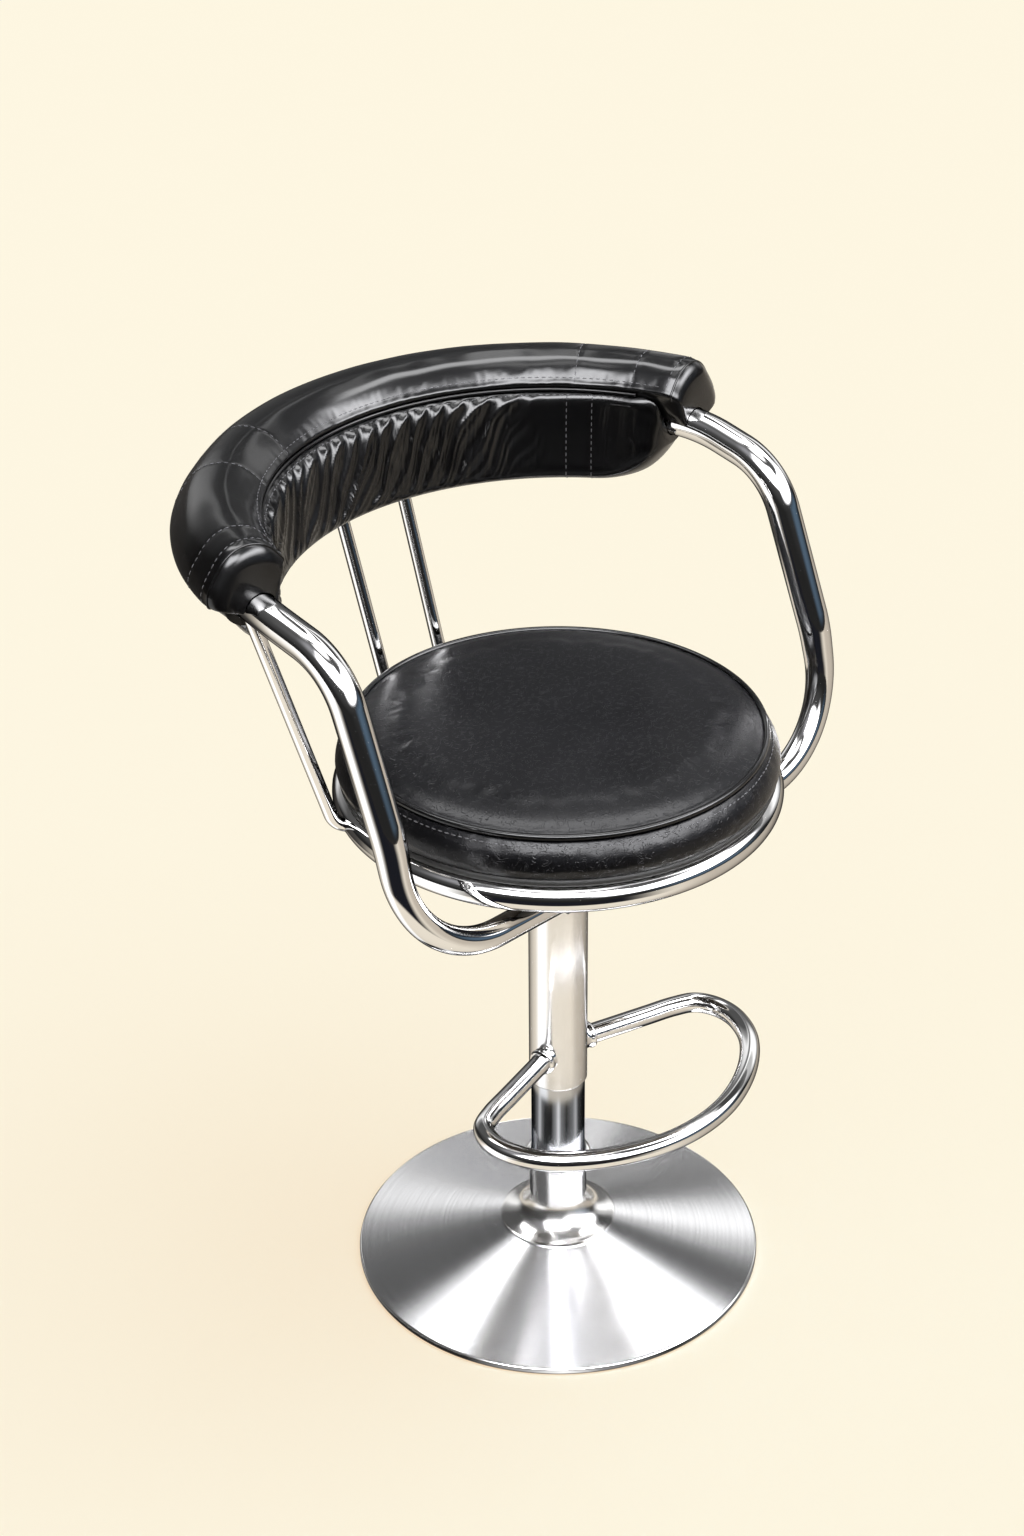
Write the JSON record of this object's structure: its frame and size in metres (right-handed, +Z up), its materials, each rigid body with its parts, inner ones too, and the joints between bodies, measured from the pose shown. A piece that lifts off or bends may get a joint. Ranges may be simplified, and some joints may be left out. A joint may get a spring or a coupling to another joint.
{
  "type": "counter_stool",
  "caption": "Swivelling, height-adjustable diner counter stool with a round upholstered seat, a padded wrap-around backrest on a chromed armrest frame, a footrest loop and a domed base.",
  "frame": {"origin": "centre of the base's underside, on the floor, under the column's axis", "axes": "+Z up along the column; +Y from the seat's front towards the backrest; +X towards the sitter's left arm"},
  "size_m": [0.5964, 0.5365, 0.817],
  "materials": {
    "chrome": "polished",
    "spun_steel": "satin",
    "plain_steel": "satin",
    "cast_iron": "matte",
    "black_paint": "satin",
    "rubber": "matte",
    "bush_plastic": "matte",
    "black_plastic": "satin",
    "board": "matte",
    "leather": "gloss"
  },
  "bodies": {
    "base": {"floor_pad": "rubber", "ballast_plate": "cast_iron", "base_cover": "spun_steel", "column_foot": "plain_steel", "foot_bolt_1": "plain_steel", "foot_bolt_2": "plain_steel", "foot_bolt_3": "plain_steel", "foot_bolt_4": "plain_steel", "inner_column": "chrome", "trumpet_flange": "chrome", "collar_ring": "chrome", "guide_bush": "bush_plastic", "bearing_seat": "plain_steel", "thrust_washer_lower": "plain_steel", "thrust_ball_ring": "plain_steel"},
    "piston": {"piston_rod": "chrome", "thrust_washer_upper": "plain_steel", "rod_washer": "plain_steel", "retaining_clip": "plain_steel"},
    "seat": {"pressure_cylinder": "black_paint", "taper_hub": "plain_steel", "outer_sleeve": "chrome", "footrest_loop": "chrome", "footrest_ferrule_left": "chrome", "footrest_ferrule_right": "chrome", "mechanism_channel": "black_paint", "channel_bolt_1": "plain_steel", "channel_bolt_2": "plain_steel", "channel_bolt_3": "plain_steel", "channel_bolt_4": "plain_steel", "lever_pin": "plain_steel", "seat_spider": "black_paint", "crossbar_saddle_left": "black_paint", "crossbar_saddle_right": "black_paint", "saddle_screw_1": "plain_steel", "saddle_screw_2": "plain_steel", "saddle_screw_3": "plain_steel", "saddle_screw_4": "plain_steel", "seat_board": "board", "seat_ring": "chrome", "seat_cushion": "leather", "seat_welt": "leather", "seat_bead": "rubber", "frame_tube": "chrome", "back_rod_right_foot": "chrome", "back_rod_right": "chrome", "back_rod_middle_foot": "chrome", "back_rod_middle": "chrome", "back_rod_left_foot": "chrome", "back_rod_left": "chrome", "back_roll": "leather", "back_panel": "leather", "back_welt": "leather"},
    "lever": {"height_lever": "plain_steel", "lever_grip": "black_plastic"},
    "pin": {"release_pin": "plain_steel"}
  },
  "joints": [
    {"name": "seat_swivel", "type": "hinge", "parent": "base", "child": "piston", "pos_m": [0, 0, 0.04], "axis": [0, 0, 1], "continuous": true},
    {"name": "seat_lift", "type": "slide", "parent": "piston", "child": "seat", "axis": [0, 0, 1], "range_m": [-0.085, 0.11]},
    {"name": "height_lever", "type": "hinge", "parent": "seat", "child": "lever", "pos_m": [0.03, 0, 0.5], "axis": [0, -1, 0], "range_deg": [0, 6.5], "stiffness_Nm_per_rad": 3, "springref_deg": -5.73},
    {"name": "release_pin", "type": "slide", "parent": "seat", "child": "pin", "axis": [0, 0, -1], "range_m": [0, 0.0036]}
  ],
  "couplings": [
    {"joint": "release_pin", "follows": "height_lever", "m_per_rad": 0.0315}
  ]
}
